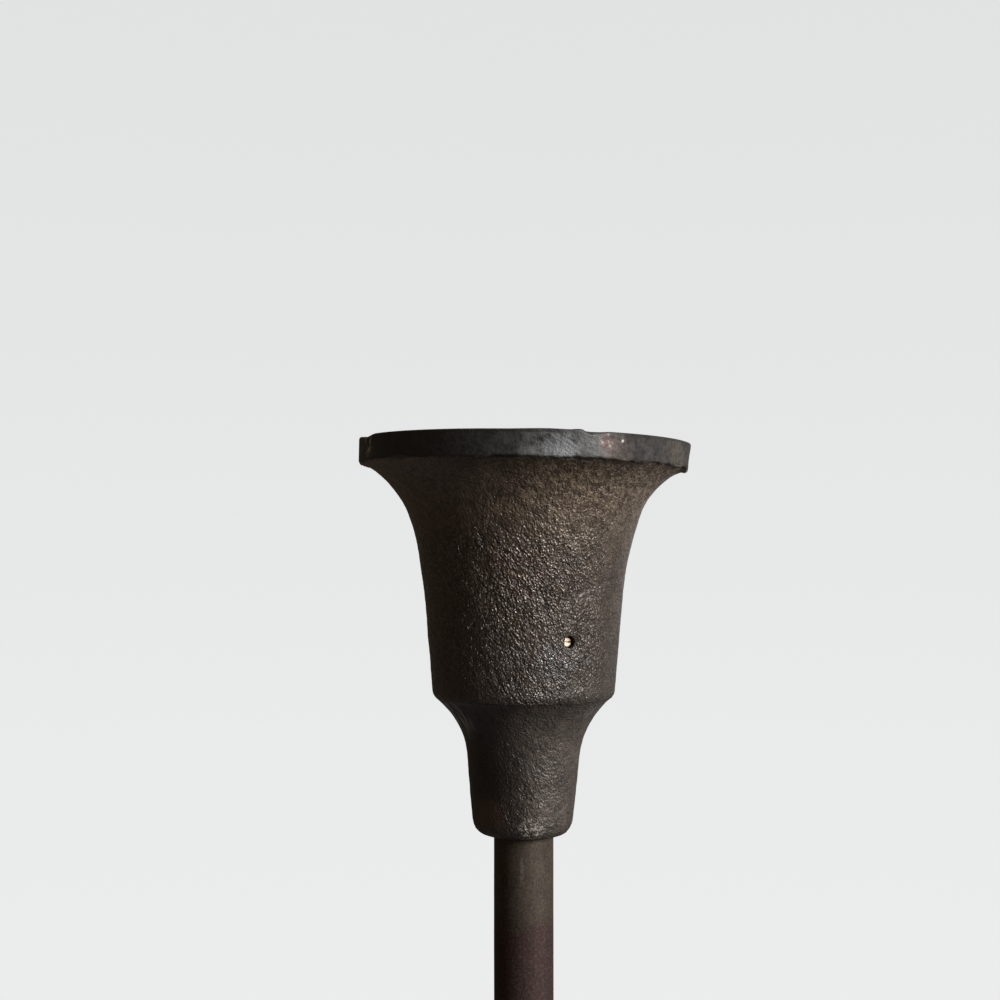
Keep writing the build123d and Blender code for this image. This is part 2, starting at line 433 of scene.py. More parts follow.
def sum_node(operation, swapped=False):
    """An operator of Value, which adds one Math node."""

    def join(self, other):
        pair = (other, self) if swapped else (self, other)
        return self.sheet.node("ShaderNodeMath", {"operation": operation}, dict(enumerate(pair)))

    return join


class Value:
    """A shader socket that can be used in sums."""

    def __init__(self, sheet, socket):
        self.sheet = sheet
        self.socket = socket

    __add__ = sum_node("ADD")
    __sub__ = sum_node("SUBTRACT")
    __rsub__ = sum_node("SUBTRACT", swapped=True)
    __mul__ = sum_node("MULTIPLY")
    __truediv__ = sum_node("DIVIDE")
    highest = sum_node("MAXIMUM")

    def from_to(self, low, high):
        """Rises softly from 0 at low to 1 at high."""
        sockets = {0: self, 1: low, 2: high, 3: 0.0, 4: 1.0}
        return self.sheet.node("ShaderNodeMapRange", {"interpolation_type": "SMOOTHSTEP"}, sockets)


class Sheet:
    """The nodes of one material or of the world. Sizes are given in millimetres."""

    def __init__(self, tree):
        self.tree = tree
        tree.nodes.clear()

    def node(self, kind, settings=None, sockets=None, out=0):
        """Adds a node, sets it up, fills or links its sockets, and returns one of its outputs."""
        made = self.tree.nodes.new(kind)
        for key, value in (settings or {}).items():
            setattr(made, key, value)
        for key, value in (sockets or {}).items():
            socket = made.inputs[key]
            if isinstance(value, Value):
                self.tree.links.new(value.socket, socket)
            else:
                socket.default_value = (*value, 1.0) if socket.type == "RGBA" else value
        return Value(self, made.outputs[out]) if made.outputs else None

    def turned(self, place, scale, turn=(0, 0, 0)):
        """Coordinates turned, and stretched so that a pattern on them grows by the scale."""
        sockets = {"Vector": place, "Rotation": turn, "Scale": scale}
        return self.node("ShaderNodeMapping", {"vector_type": "TEXTURE"}, sockets)

    def combined(self, x, y, z):
        """Coordinates made of three values."""
        return self.node("ShaderNodeCombineXYZ", None, {0: x, 1: y, 2: z})

    def axis(self, place, letter):
        """One coordinate of a place."""
        return self.node("ShaderNodeSeparateXYZ", None, {0: place}, letter)

    def vectors(self, operation, *sockets, out="Value"):
        """A sum with vectors."""
        return self.node("ShaderNodeVectorMath", {"operation": operation}, dict(enumerate(sockets)), out)

    def along(self, place, direction):
        """How far a place lies along a direction."""
        return self.vectors("DOT_PRODUCT", place, direction)

    def spread(self, place):
        """The distance of a place from the stem's axis."""
        return self.vectors("LENGTH", self.vectors("MULTIPLY", place, (1, 1, 0), out="Vector"))

    def spot(self, place, centre, near, far, ragged=None):
        """1 round a centre as far as near, and 0 beyond far. A ragged edge takes a pattern."""
        distance = self.vectors("DISTANCE", place, centre)
        if ragged:
            distance = distance + ragged * MM
        return 1 - distance.from_to(near * MM, far * MM)

    def noise(self, place, size, detail=3.0, roughness=0.6, distortion=0.0):
        """A cloud pattern whose lumps are about a size."""
        sockets = {"Vector": place, "Scale": 1 / (size * MM), "Detail": detail}
        sockets.update({"Roughness": roughness, "Distortion": distortion})
        return self.node("ShaderNodeTexNoise", None, sockets)

    def grains(self, place, size, softness):
        """Rounded grains about a size apart, 1 on their tops and near 0 between them."""
        sockets = {"Vector": place, "Scale": 1 / (size * MM), "Smoothness": softness}
        return 1 - self.node("ShaderNodeTexVoronoi", {"feature": "SMOOTH_F1"}, sockets, "Distance") * 1.5

    def mix(self, share, first, second, blend="MIX"):
        """A colour between two others."""
        settings = {"data_type": "RGBA", "blend_type": blend}
        return self.node("ShaderNodeMix", settings, {0: share, 6: first, 7: second}, 2)

    def coats(self, tone, *coats):
        """A colour under coats of others, each given as a share and a colour."""
        for share, coat in coats:
            tone = self.mix(share, tone, coat)
        return tone

    def principled(self, tone, roughness, metal, specular, more=None):
        """A Principled surface."""
        sockets = {"Base Color": tone, "Roughness": roughness, "Metallic": metal}
        sockets.update({"Specular IOR Level": specular, **(more or {})})
        return self.node("ShaderNodeBsdfPrincipled", None, sockets)

    def surface(self, tone, roughness, metal, specular, height, depth):
        """Ends a material with a surface that has a relief of a depth."""
        sockets = {"Height": height, "Distance": depth * MM, "Strength": 1.0}
        relief = self.node("ShaderNodeBump", None, sockets)
        shader = self.principled(tone, roughness, metal, specular, {"Normal": relief})
        self.node("ShaderNodeOutputMaterial", None, {"Surface": shader})


def new_finish(name):
    """A material, the sheet of its nodes, and its object coordinates in metres."""
    material = bpy.data.materials.new(name)
    material.use_nodes = True
    sheet = Sheet(material.node_tree)
    return material, sheet, sheet.node("ShaderNodeTexCoord", out="Object")


def casting(sheet, place, look, coarse):
    """Sand-cast iron: its colour, roughness, metal share and height, with grains as strong as coarse."""
    slanted = sheet.turned(place, (0.95, 0.95, 1.25), (-0.24, -0.47, 0.0))
    lumps = sheet.noise(slanted, 0.46, 2.0, 0.5, 0.3)
    grains = sheet.grains(slanted, 0.38, 0.15)
    dents = sheet.noise(slanted, 1.5, 1.0, 0.4, 0.4)
    pits = 1 - sheet.noise(slanted, 0.95).from_to(0.35, 0.47)
    cloud = sheet.noise(slanted, 2.4, 4.0, 0.65).from_to(0.36, 0.64)
    dust = sheet.noise(place, 0.22, 2.0, 0.65)
    swell = sheet.noise(place, 3.2, 2.0, 0.5)
    patches = sheet.noise(place, 9)
    brown = sheet.noise(place, 16, 2.0, 0.5).from_to(0.5, 0.68)
    purple = sheet.noise(place, 6).from_to(0.5, 0.68)
    relief = lumps * 0.78 + grains * 0.3
    height = (coarse * 0.75 + 0.25) * (relief * (swell * 1.7 + 0.55) - pits * 0.5 + dents)
    # The grains' tops: partly bare, worn iron and partly painted glint, a light colour for the light that
    # they catch
    tops = (relief + dust * 0.35).from_to(0.65, 0.78) * coarse
    tone = sheet.mix(patches.from_to(0.3, 0.7), look.iron_dark, look.iron_light)
    tone = sheet.coats(tone, (brown * 0.5, look.iron_rust), (purple * 0.5, look.iron_purple))
    tone = sheet.mix(1.0, tone, sheet.mix(cloud, CLOUD_DARK, CLOUD_PALE), "MULTIPLY")
    tone = sheet.coats(
        tone,
        # Painted shade in the pits, which are also sunk in the relief
        (pits * (coarse * 0.4 + 0.4), look.iron_dark * 0.25),
        (dust.from_to(0.48, 0.62) * 0.5, look.iron_light * 1.6),
        # Painted glint on the grains' tops, partly real worn iron
        (tops * 0.8, look.iron_bare),
    )
    roughness = 0.38 - coarse * 0.17 + patches * 0.08 + pits * 0.1
    return tone, roughness, tops * 0.35 + 0.2, height


def cup_iron(shape, look, base, top, rim, view):
    """The cup's finish: rough casting, a ground rim with its marks, and a worn neck end."""
    finish, sheet, place = new_finish("cup_iron")
    at = lambda degrees, radius, height: round_place(view + math.radians(degrees), radius, height)
    spot = lambda *edge: sheet.spot(place, *edge)
    level = sheet.axis(place, "Z")
    radius = sheet.spread(place)
    side = sheet.along(place, at(90, 1.0, 0.0))
    slant = sheet.along(place, at(90, math.tan(shape.rim_tilt), 1.0))
    waver, smear = sheet.noise(place, 6), sheet.noise(place, 2.4)
    fleck, grit = sheet.noise(place, 0.8, 2.0), sheet.noise(place, 0.45, 2.0)
    lip_level = top - shape.lip_height
    bell_low = base + shape.shoulder_height
    bell_high = base + shape.bell_height + 12 * MM
    on_bell = level.from_to(bell_low - 1.5 * MM, bell_low + 0.5 * MM)
    on_flare = level.from_to(bell_high - 6 * MM, bell_high + 6 * MM)

    # Casting, coarsest on the bell, with brown crumbs on the flare, thinner towards the view's left as
    # painted shade, and a slightly darker neck with painted shade down its left side
    calm = on_flare.highest(side.from_to(8 * MM, 15 * MM) * 0.7)
    lowest = 1 - level.from_to(bell_low + 3 * MM, bell_low + 15 * MM)
    coarse = on_bell * (1 - calm) * (0.76 - lowest * 0.3) * waver.from_to(0.2, 0.55) + 0.2
    tone, roughness, metal, height = casting(sheet, place, look, coarse)
    drips = sheet.noise(sheet.turned(place, (1, 1, 1.8)), 0.85)
    crumb = (drips * 0.6 + smear * 0.3 + grit * 0.15).from_to(0.41, 0.66)
    # Painted light and shade: more of the pale crumbs towards the view's right, so the flare is lighter
    # there and darker on the left
    crust_and_side_light = on_flare * (side.from_to(-5 * MM, 11 * MM) * 0.48 + 0.42)
    # Painted shade down the neck's left side, away from the light
    neck_shade = (1 - on_bell) * (1 - side.from_to(-7 * MM, 3.5 * MM))
    tone = sheet.coats(
        tone,
        (crust_and_side_light, sheet.mix(crumb, look.iron_dark * 1.4, look.flare)),
        (neck_shade * 0.75, look.iron_dark * 0.25),
    )
    height = height + on_flare * crumb * (side.from_to(0, 10 * MM) * 0.25 + 0.3)
    warm = level.from_to(base + 26 * MM, base + 40 * MM) * (1 - side.from_to(10 * MM, 22 * MM) * 0.6)
    tint = sheet.mix(warm, sheet.mix(on_bell, NECK_TINT, BELL_TINT), HIGH_TINT)
    tone = sheet.mix(1.0, tone, tint, "MULTIPLY")
    roughness = roughness + (1 - on_bell) * 0.07

    # Rust low on the neck, and bright wear on the front of its end
    rusty = spot(at(-45, shape.neck_end_radius, base + 3.5 * MM), 3.5, 7, waver * 4)
    worn = spot(at(10, shape.neck_end_radius, base + 1.7 * MM), 0.9, 3) * grit.from_to(0.48, 0.62)
    tone = sheet.coats(tone, (rusty * 0.7, look.iron_rust * 1.6), (worn * 0.9, look.iron_bare * 2.0))
    metal = metal + worn * 0.3

    # Pale scuffs down both sides of the shoulder
    across, deep = (sheet.axis(place, letter) / radius for letter in "XY")
    streaks = sheet.noise(sheet.combined(across, deep, level * 8), 50, 2.0).from_to(0.47, 0.6)
    streaks = streaks * (grit.from_to(0.42, 0.58) * 0.45 + 0.55)
    for degrees, drop, share, size in ((-66, 3.6, 1.0, 5.5), (62, 2.2, 0.42, 3.2)):
        scuff = spot(
            at(degrees, shape.shoulder_radius - drop * 0.6 * MM, bell_low - drop * MM), size * 0.35, size
        )
        tone = sheet.mix(scuff * streaks * share, tone, look.iron_rubbed * 2.4)

    # Rubbed grey iron with bright flecks below the lock screw
    rubbed_place = round_place(math.radians(-8), shape.bell_radius, base + 30 * MM)
    rubbed = spot(rubbed_place, 3, 6, waver * 3)
    tone = sheet.mix(rubbed * (fleck * 0.5 + grit * 0.5).from_to(0.44, 0.58), tone, look.iron_rubbed)
    roughness = roughness - rubbed * 0.12

    # The ground rim: dark and mottled, with long slanting strokes where it is freshest, painted shade on its
    # left side and a painted dark line along its top edge
    on_lip = slant + waver * 0.4 * MM + fleck * 0.7 * MM
    on_lip = on_lip.from_to(lip_level + 0.5 * MM, lip_level + 0.75 * MM)
    on_lip = on_lip * radius.from_to(shape.mouth_radius - 0.5 * MM, shape.mouth_radius)
    sweep = sheet.vectors("DISTANCE", place, at(-12, rim, lip_level - 16 * MM)) + smear * 1.3 * MM
    strokes = sheet.noise(sheet.combined(sweep, waver * 4 * MM, 0.0), 0.4, 4.0, 0.65)
    scraped = (strokes * 0.6 + smear * 0.75).from_to(0.48, 0.82)
    mottle = (smear * 0.5 + fleck * 0.4 + grit * 0.25).from_to(0.42, 0.74)
    mottled = lambda paint, low, high: sheet.mix(mottle, paint * low, paint * high)
    fresh = spot(at(9, rim, lip_level + 1.3 * MM), 5.4, 9.2, waver * 5)
    low_edge = fresh * (1 - slant.from_to(lip_level + 0.9 * MM, lip_level + 2.4 * MM))
    worn_side = side.from_to(10.5 * MM, 18 * MM) * (1 - fresh * 0.5)
    dull = spot(at(46, rim, lip_level + 2 * MM), 4, 8, waver * 4)
    # Painted shade on the rim's left side, away from the light
    shade = 1 - side.from_to(-14 * MM, 2 * MM)
    pale_end = spot(at(63, rim, lip_level + 1.4 * MM), 3.5, 7.5, smear * 3) * mottle
    dark_stain = spot(at(22.5, rim, top - 1.3 * MM), 0.9, 2.7, smear * 1.5)
    rust_stain = spot(at(30.5, rim, top - 2.6 * MM), 1.6, 4.8, smear * 1.5)
    # A painted dark line along the rim's top edge, the shade on its round
    edge = slant.from_to(top - 0.4 * MM, top - 0.1 * MM)
    ground = sheet.coats(
        mottled(look.lip_dark, 0.4, 1.7),
        ((fresh * 0.9 + 0.05) * scraped, look.lip_ground),
        (low_edge * scraped * 0.6, look.lip_ground * 1.5),
        (worn_side * 0.85, mottled(look.lip_worn, 0.5, 1.5)),
        ((dull * 0.35).highest(shade * 0.6), look.lip_dark * 0.3),
        (pale_end * 0.7, look.iron_light * 1.1),
        (dark_stain * 0.6, mottled(look.lip_dark, 0.7, 2.0)),
        (rust_stain * 0.6, mottled(look.iron_rust, 0.7, 2.0)),
        (edge * 0.7, look.lip_dark * 0.4),
    )
    lip_roughness = strokes * 0.16 + worn_side * (0.38 - mottle * 0.22) + 0.44
    roughness = roughness + on_lip * (lip_roughness - roughness)
    metal = metal + on_lip * (fresh * 0.3 - worn_side * 0.15 + 0.22 - metal)
    height = height + on_lip * (strokes * fresh * 0.2 + grit * 0.16 + fleck * 0.2 - height)

    # A rust-red chip with white grit, a brown chip and a white fleck on the rim
    chip_place = at(27, rim, top - 1.55 * MM)
    chip = spot(chip_place, 1.7, 2.9, smear * 2.4)
    chalky = spot(chip_place, 0.9, 2.1) * (fleck * 0.6 + grit * 0.5).from_to(0.58, 0.7)
    rust = sheet.mix(fleck.from_to(0.4, 0.56), look.chip_dark, look.chip_red)
    brown_chip = spot(at(-65, rim, top - 1.3 * MM), 1.5, 3.4, smear * 2)
    earth = sheet.mix(fleck.from_to(0.46, 0.6), look.earth_dark, look.earth_pale)
    speck = spot(at(33.4, rim, top - 1.35 * MM), 0.14, 0.32)

    # Darker in the socket and on the bell, the nearer the stem's axis the darker
    darker_near_axis = on_bell * (1 - radius.from_to(shape.bell_radius * 0.8, shape.mouth_radius))
    tone = sheet.coats(
        tone,
        (on_lip, ground),
        (chip * 0.85, sheet.mix(chalky, rust, look.chip_grit)),
        (brown_chip * 0.85, earth),
        (speck, look.white_fleck),
        (darker_near_axis * 0.7, look.iron_dark * 0.45),
    )
    sheet.surface(tone, roughness, metal, 0.9, height, 0.33)
    return finish


def foot_iron(look):
    """The foot's finish: the same casting, smoother and browner."""
    finish, sheet, place = new_finish("foot_iron")
    waver = sheet.noise(place, 12)
    tone, roughness, metal, height = casting(sheet, place, look, waver.from_to(0.35, 0.65) * 0.6 + 0.3)
    sheet.surface(tone, roughness, metal, 0.4, height, 0.3)
    return finish


def stem_steel(look, top, radius, view):
    """The stem's finish: drawn bar, olive under the cup and purple-brown below, with one long scratch."""
    finish, sheet, place = new_finish("stem_steel")
    dust = sheet.noise(place, 0.36, 3.0, 0.7)
    cloud = sheet.noise(place, 4, 4.0, 0.65)
    lines = sheet.noise(sheet.turned(place, (1, 1, 14)), 0.7, 2.0)
    olive = (sheet.axis(place, "Z") + cloud * 8 * MM).from_to(top - 13 * MM, top - 7 * MM)
    scratch_stretch = 8
    scratch_place = round_place(view - math.radians(3), radius, (top - 5 * MM) / scratch_stretch)
    scratch = sheet.spot(sheet.turned(place, (1, 1, scratch_stretch)), scratch_place, 0.1, 0.45)
    tone = sheet.coats(
        sheet.mix(olive, look.stem_purple, look.stem_olive),
        (cloud.from_to(0.38, 0.66) * 0.55, look.iron_dark),
        ((1 - dust.from_to(0.32, 0.52)) * 0.5, look.iron_dark * 0.5),
        (dust.from_to(0.5, 0.7) * 0.45, look.iron_light * 1.7),
        (lines.from_to(0.6, 0.78) * 0.1, look.iron_bare * 0.7),
        (scratch * dust.from_to(0.35, 0.6) * 0.35, look.iron_bare),
    )
    height = dust * 0.6 + lines * 0.5 + cloud * 0.4
    sheet.surface(tone, cloud * 0.12 + dust * 0.08 + 0.5, lines * 0.2 + 0.25, 0.4, height, 0.05)
    return finish


def turned_metal(name, tone, roughness, ring):
    """Metal with fine turning rings and a little tarnish."""
    finish, sheet, place = new_finish(name)
    rings = sheet.noise(sheet.combined(sheet.spread(place), 0.0, sheet.axis(place, "Z")), ring, 2.0)
    tarnish = sheet.noise(place, 3)
    dust = sheet.noise(place, 0.25, 2.0)
    shaded = sheet.coats(
        sheet.mix(tarnish.from_to(0.35, 0.75) * 0.6, tone, tone * 0.45),
        (rings.from_to(0.3, 0.7) * 0.3, tone * 1.25),
    )
    roughness = tarnish * 0.2 + dust * 0.06 + roughness
    sheet.surface(shaded, roughness, 1.0, 0.5, rings * 0.8 + dust * 0.2, 0.02)
    return finish


def pad_rubber(look):
    """Matt rubber with fine grit and pale scuffs."""
    finish, sheet, place = new_finish("pad_rubber")
    grit = sheet.noise(place, 0.35)
    scuff = sheet.noise(place, 2.5, 4.0, 0.7).from_to(0.52, 0.75)
    tone = sheet.mix(scuff * 0.5, look.rubber, look.rubber * 2.6)
    sheet.surface(tone, grit * 0.2 + 0.72, 0.0, 0.35, grit, 0.05)
    return finish


def seen_rays(sheet, mirrored_share):
    """1 for what the camera sees, a share for what it sees in a mirror or through glass, and 0 for light."""
    rays = lambda output: sheet.node("ShaderNodeLightPath", out=output)
    mirrored = rays("Is Glossy Ray").highest(rays("Is Transmission Ray"))
    return rays("Is Camera Ray").highest(mirrored * mirrored_share)


def floor_finish(look, radius):
    """The pale floor, which fades out towards its edge and is clear from below."""
    finish, sheet, place = new_finish("floor")
    pale = sheet.mix(sheet.noise(place, 40), look.floor, look.floor * 0.985)
    seen = seen_rays(sheet, 0.08)
    glow = {"Emission Color": sheet.mix(seen, (0, 0, 0), look.floor * 0.5), "Emission Strength": 1.0}
    shader = sheet.principled(sheet.mix(seen, look.floor * 0.07, pale), 0.85, 0.0, 0.2, glow)
    below = sheet.node("ShaderNodeNewGeometry", out="Backfacing")
    distance = sheet.vectors("DISTANCE", place, (0, 0, 0))
    edge = distance.from_to(radius * 0.45, radius * 0.98).highest(below)
    clear = sheet.node("ShaderNodeBsdfTransparent")
    mixed = sheet.node("ShaderNodeMixShader", None, {0: edge, 1: shader, 2: clear})
    sheet.node("ShaderNodeOutputMaterial", None, {"Surface": mixed})
    return finish


# Operators


def settings(context):
    """The three groups of settings."""
    scene = context.scene
    return scene.candle_stand_shape, scene.candle_stand_look, scene.candle_stand_stage


class CANDLE_STAND_OT_cup(bpy.types.Operator):
    """Models the bell-shaped cup with its ground rim, its marks and the lock screw's hole"""

    bl_idname = "candle_stand.cup"
    bl_label = "Candle cup"

    def execute(self, context):
        shape, look, stage = settings(context)
        low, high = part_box("candle_cup")
        rim = high.x
        lip_level = high.z - shape.lip_height
        outline = cup_outline(shape, low.z, high.z - low.z, rim)
        cup = spun("cup_casting", outline, shape.round_steps)
        outside = self.outside(shape, low.z)
        group_where(cup, "skin", lambda co: outside(co) and co.z < lip_level - 0.1 * MM)
        group_where(cup, "grain", lambda co: outside(co) and co.z < lip_level - 0.5 * MM)
        on_edge = lambda co: abs(co.z - lip_level) < 0.4 * MM and co.xy.length > rim - 1 * MM
        group_where(cup, "lip_edge", on_edge)
        displace(cup, "skin", shape.swell_size, shape.swell_height, 2)
        displace(cup, "grain", shape.grain_size, shape.grain_height, 1)
        displace(cup, "lip_edge", 3.5 * MM, 0.9 * MM, 2, "Z")
        displace(cup, "lip_edge", 1.1 * MM, 0.35 * MM, 1, "Z")
        self.tilt_rim(cup, shape, stage.view_bearing, lip_level)
        self.mark(cup, shape, stage.view_bearing, low.z, lip_level, high.z, rim)
        self.pit(cup, shape)
        finish = cup_iron(shape, look, low.z, high.z, rim, stage.view_bearing)
        finish_piece(cup, finish, "stand", "candle_cup", 60)
        return {"FINISHED"}

    def outside(self, shape, base):
        """A test for the cup's outer surface: above the shoulder, a slanting line parts off the funnel."""
        line_top, line_slope = 67 * MM, 0.25
        socket_limit = 14 * MM

        def test(co):
            radius = co.xy.length
            level = co.z - base
            if level < shape.shoulder_height:
                return radius > shape.thread_radius * 1.6 and level > 0.6 * MM
            return radius > max(socket_limit, shape.mouth_radius - (line_top - level) * line_slope)

        return test

    def tilt_rim(self, cup, shape, view, lip_level):
        """Tilts the ground band across the view, with a soft end in the flare below it."""
        inside = shape.mouth_radius - 1 * MM
        select_where(cup, lambda co: co.z > lip_level - 0.35 * MM and co.xy.length > inside)
        right = Vector((math.cos(view), math.sin(view), 0))
        away = Vector((-math.sin(view), math.cos(view), 0))
        bpy.ops.transform.rotate(
            value=-shape.rim_tilt,
            orient_axis="Y",
            orient_type="GLOBAL",
            orient_matrix=(right, away, Vector((0, 0, 1))),
            orient_matrix_type="GLOBAL",
            center_override=(0, 0, lip_level),
            proportional_size=14 * MM,
            **SOFT_EDGE,
        )
        deselect()

    def mark(self, cup, shape, view, base, lip_level, top, rim):
        """Puts in the rim's chip, notch and burr, and the sides that the mould shifted."""
        # Degrees from the view, radius, level, then in millimetres: push inward, push up and reach
        marks = (
            (-79, rim, top - 0.9 * MM, 0.7, 0, 1.1),
            (-76.708, rim, top, 0, -0.35, 1.2),
            (8, rim, top, 0, 0.15, 7),
            (-68, rim, top, 0, -0.42, 4.8),
            (17.5, rim, top, 0, 0.2, 1.7),
            (21.5, rim, top, 0, -0.4, 1.3),
            (24.5, rim, top, 0, -0.25, 2.2),
            (84, rim, lip_level, 0, -0.65, 4),
            (84, rim, top, -0.27, 0, 7),
            (84, rim, lip_level, 0.7, 0, 3.5),
            (68, rim - 1.2 * MM, lip_level - 0.9 * MM, 0.7, 0, 1.4),
            (-90, shape.neck_end_radius, base + 4 * MM, -0.3, 0, 14),
            (-90, shape.bell_radius * 1.2, base + 52 * MM, 0.42, 0, 9),
        )
        for degrees, radius, level, inward, rise, reach in marks:
            bearing = view + math.radians(degrees)
            push = round_place(bearing, -inward * MM, rise * MM)
            nudge(cup, round_place(bearing, radius, level), push, reach * MM)

    def pit(self, cup, shape):
        """Sinks the casting a little round the lock screw and drills the screw's hole."""
        low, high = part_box("grub_screw")
        level = (low.z + high.z) / 2
        nudge(cup, Vector((0.4 * MM, low.y - 1.2 * MM, level + 0.4 * MM)), (0, 0.5 * MM, 0), 2.2 * MM)
        turn = (math.pi / 2, 0, 0)
        cut(cup, cylinder("screw_drill", 48, shape.drill_radius, 10 * MM, (0, low.y, level), turn))


class CANDLE_STAND_OT_lock_screw(bpy.types.Operator):
    """Models the slotted brass grub screw in the cup's wall"""

    bl_idname = "candle_stand.lock_screw"
    bl_label = "Lock screw"

    def execute(self, context):
        _, look, _ = settings(context)
        low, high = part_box("grub_screw")
        radius = (high.x - low.x) / 2
        level = (low.z + high.z) / 2
        span = high.y - low.y
        pitch, ridge, chamfer = 0.4 * MM, 0.12 * MM, 0.3 * MM
        outline = [(0, 0), (radius - chamfer, 0), (radius, chamfer)]
        turns = int((span - 2 * chamfer) / pitch)
        for turn in range(turns):
            crest = (span - turns * pitch) / 2 + turn * pitch
            outline += [(radius, crest), (radius - ridge, crest + pitch / 2)]
        outline += [(radius, span - chamfer), (radius - chamfer, span), (0, span)]
        screw = spun("lock_screw_brass", joined(outline), 48)
        screw.rotation_euler = (math.pi / 2, 0, 0)
        screw.location = (0, high.y, level)
        settle(screw)
        deselect()
        bpy.ops.mesh.primitive_cube_add(size=1, location=(0, low.y, level))
        slot = named("screw_slot")
        slot_size = (3 * MM, 0.8 * MM, 0.24 * MM)
        bpy.ops.object.mode_set(mode="EDIT")
        bpy.ops.mesh.select_all(action="SELECT")
        bpy.ops.transform.resize(value=slot_size, center_override=(0, low.y, level))
        bpy.ops.object.mode_set(mode="OBJECT")
        cut(screw, slot)
        finish = turned_metal("screw_brass", look.brass, 0.42, 0.12)
        finish_piece(screw, finish, "lock_screw", "grub_screw", 35)
        return {"FINISHED"}


class CANDLE_STAND_OT_plug(bpy.types.Operator):
    """Models the pricket's turned plug, with a groove round its top"""

    bl_idname = "candle_stand.plug"
    bl_label = "Pricket plug"

    def execute(self, context):
        _, look, _ = settings(context)
        low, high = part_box("pricket_plug")
        radius, bottom, top = high.x, low.z, high.z
        tail = 2.02 * MM
        low_round, top_round = 0.4 * MM, 0.8 * MM
        groove, groove_floor = radius * 0.62, top - 0.35 * MM
        outline = joined(
            [(tail, bottom)],
            eased((0, bottom), (radius, bottom), (radius, top), low_round, 3),
            stepped([(radius, bottom + low_round), (radius, top - top_round)], 2 * MM),
            eased((radius, bottom), (radius, top), (0, top), top_round, 4),
            [(groove + 0.8 * MM, top), (groove + 0.5 * MM, groove_floor), (groove - 0.5 * MM, groove_floor)],
            [(groove - 0.8 * MM, top), (tail + 0.2 * MM, top), (tail, top - 0.2 * MM), (tail, bottom)],
        )
        plug = spun("pricket_plug_turned", outline, 96)
        finish = turned_metal("plug_steel", look.steel, 0.36, 0.18)
        finish_piece(plug, finish, "pricket", "pricket_plug", 35)
        return {"FINISHED"}


class CANDLE_STAND_OT_spike(bpy.types.Operator):
    """Models the pricket's spike, from its tail in the plug to its tip"""

    bl_idname = "candle_stand.spike"
    bl_label = "Pricket spike"

    def execute(self, context):
        _, look, _ = settings(context)
        low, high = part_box("pricket_spike")
        radius, bottom, top = high.x, low.z, high.z
        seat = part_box("pricket_plug")[1].z
        shank = seat + 9 * MM
        tail, chamfer, tip = 2.0 * MM, 0.3 * MM, 0.3 * MM
        seat_round, shank_round = 0.25 * MM, 0.5 * MM
        outline = joined(
            [(0, bottom), (tail - chamfer, bottom), (tail, bottom + chamfer), (tail, seat)],
            eased((tail, seat), (radius, seat), (radius, shank), seat_round, 3),
            stepped([(radius, seat + seat_round), (radius, shank - shank_round)], 1 * MM),
            eased((radius, seat), (radius, shank), (tip, top), shank_round, 4),
            stepped([(radius - 0.08 * MM, shank + shank_round), (tip, top - chamfer)], 1 * MM),
            [(tip * 0.7, top - 0.1 * MM), (0, top)],
        )
        spike = spun("pricket_spike_turned", outline, 64)
        finish = turned_metal("spike_steel", look.steel, 0.32, 0.15)
        finish_piece(spike, finish, "pricket", "pricket_spike", 40)
        return {"FINISHED"}


class CANDLE_STAND_OT_stem(bpy.types.Operator):
    """Models the plain round stem with a thread on each end"""

    bl_idname = "candle_stand.stem"
    bl_label = "Stem"

    def execute(self, context):
        shape, look, stage = settings(context)
        low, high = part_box("stem")
        radius = high.x
        edge = 0.4 * MM
        cup_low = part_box("candle_cup")[0].z
        foot_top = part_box("foot")[1].z
        seat_low = foot_top - shape.seat_depth
        seat_high = cup_low + shape.seat_depth
        outline = joined(
            [(0, low.z)],
            self.thread(shape, low.z, seat_low),
            eased((0, seat_low), (radius, seat_low), (radius, seat_high), edge, 3),
            stepped([(radius, seat_low + edge), (radius, seat_high - edge)], 2.5 * MM),
            eased((radius, seat_low), (radius, seat_high), (0, seat_high), edge, 3),
            self.thread(shape, seat_high, high.z),
            [(0, high.z)],
        )
        stem = spun("stem_bar", outline, 128)
        group_where(stem, "bar", lambda co: foot_top < co.z < cup_low)
        displace(stem, "bar", 12 * MM, 0.06 * MM, 2)
        finish = stem_steel(look, cup_low, radius, stage.view_bearing)
        finish_piece(stem, finish, "stand", "stem", 40)
        return {"FINISHED"}

    def thread(self, shape, low, high):
        """The ridges of a thread between two levels, with a plain runout at both ends."""
        crest, pitch = shape.thread_radius, shape.thread_pitch
        root = crest - 0.55 * pitch
        points = [(root, low)]
        ridges = int((high - low - 0.6 * MM) / pitch)
        start = (low + high - ridges * pitch) / 2
        for ridge in range(ridges):
            level = start + ridge * pitch
            points += [(root, level), (crest, level + pitch * 0.45), (crest, level + pitch * 0.55)]
        return points + [(root, start + ridges * pitch), (root, high)]


